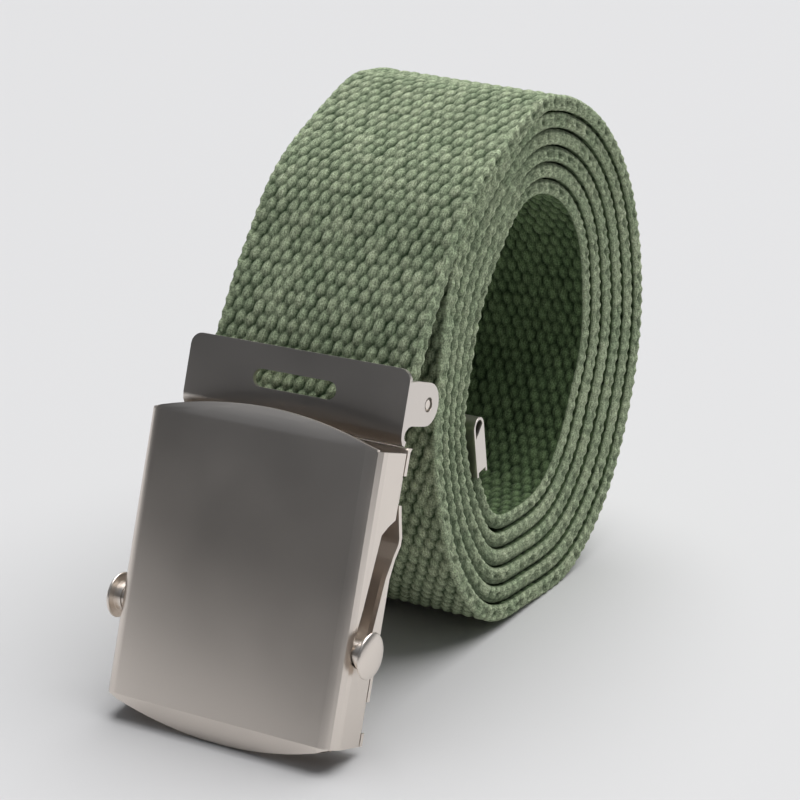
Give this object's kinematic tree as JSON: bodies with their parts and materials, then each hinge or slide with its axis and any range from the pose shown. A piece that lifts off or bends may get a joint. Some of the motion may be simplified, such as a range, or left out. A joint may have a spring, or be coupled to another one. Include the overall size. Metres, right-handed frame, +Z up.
{
  "type": "canvas web belt",
  "caption": "Rolled strap of thick woven webbing with a metal box buckle on its outer end: arched case, hinged clamp plate and sliding roller bar, and a metal tip on its free end.",
  "frame": {"origin": "centre of the bounding box at its base, on the surface the belt lies on", "axes": "+Z up, X along the roll's axis and across the strap, -Y the side the buckle's face looks to"},
  "size_m": [0.0484, 0.1146, 0.0906],
  "materials": {
    "green_webbing": "thick plain-woven cotton webbing, matte, sage green",
    "satin_nickel": "satin nickel-plated sheet steel",
    "dull_nickel": "duller nickel-plated sheet steel"
  },
  "bodies": {
    "belt": {"webbing": "green_webbing", "belt_tip": "dull_nickel", "buckle_case": "satin_nickel", "back_plate": "satin_nickel"},
    "clamp": {"clamp_plate": "dull_nickel"},
    "roller": {"roller_bar": "satin_nickel"}
  },
  "joints": [
    {"name": "clamp_hinge", "type": "hinge", "parent": "belt", "child": "clamp", "pos_m": [0, -0.02594, 0.05023], "axis": [-1, 0, 0], "range_deg": [0, 22]},
    {"name": "roller_slide", "type": "slide", "parent": "belt", "child": "roller", "axis": [0, 0.4945, 0.8691], "range_m": [0, 0.0168]}
  ]
}
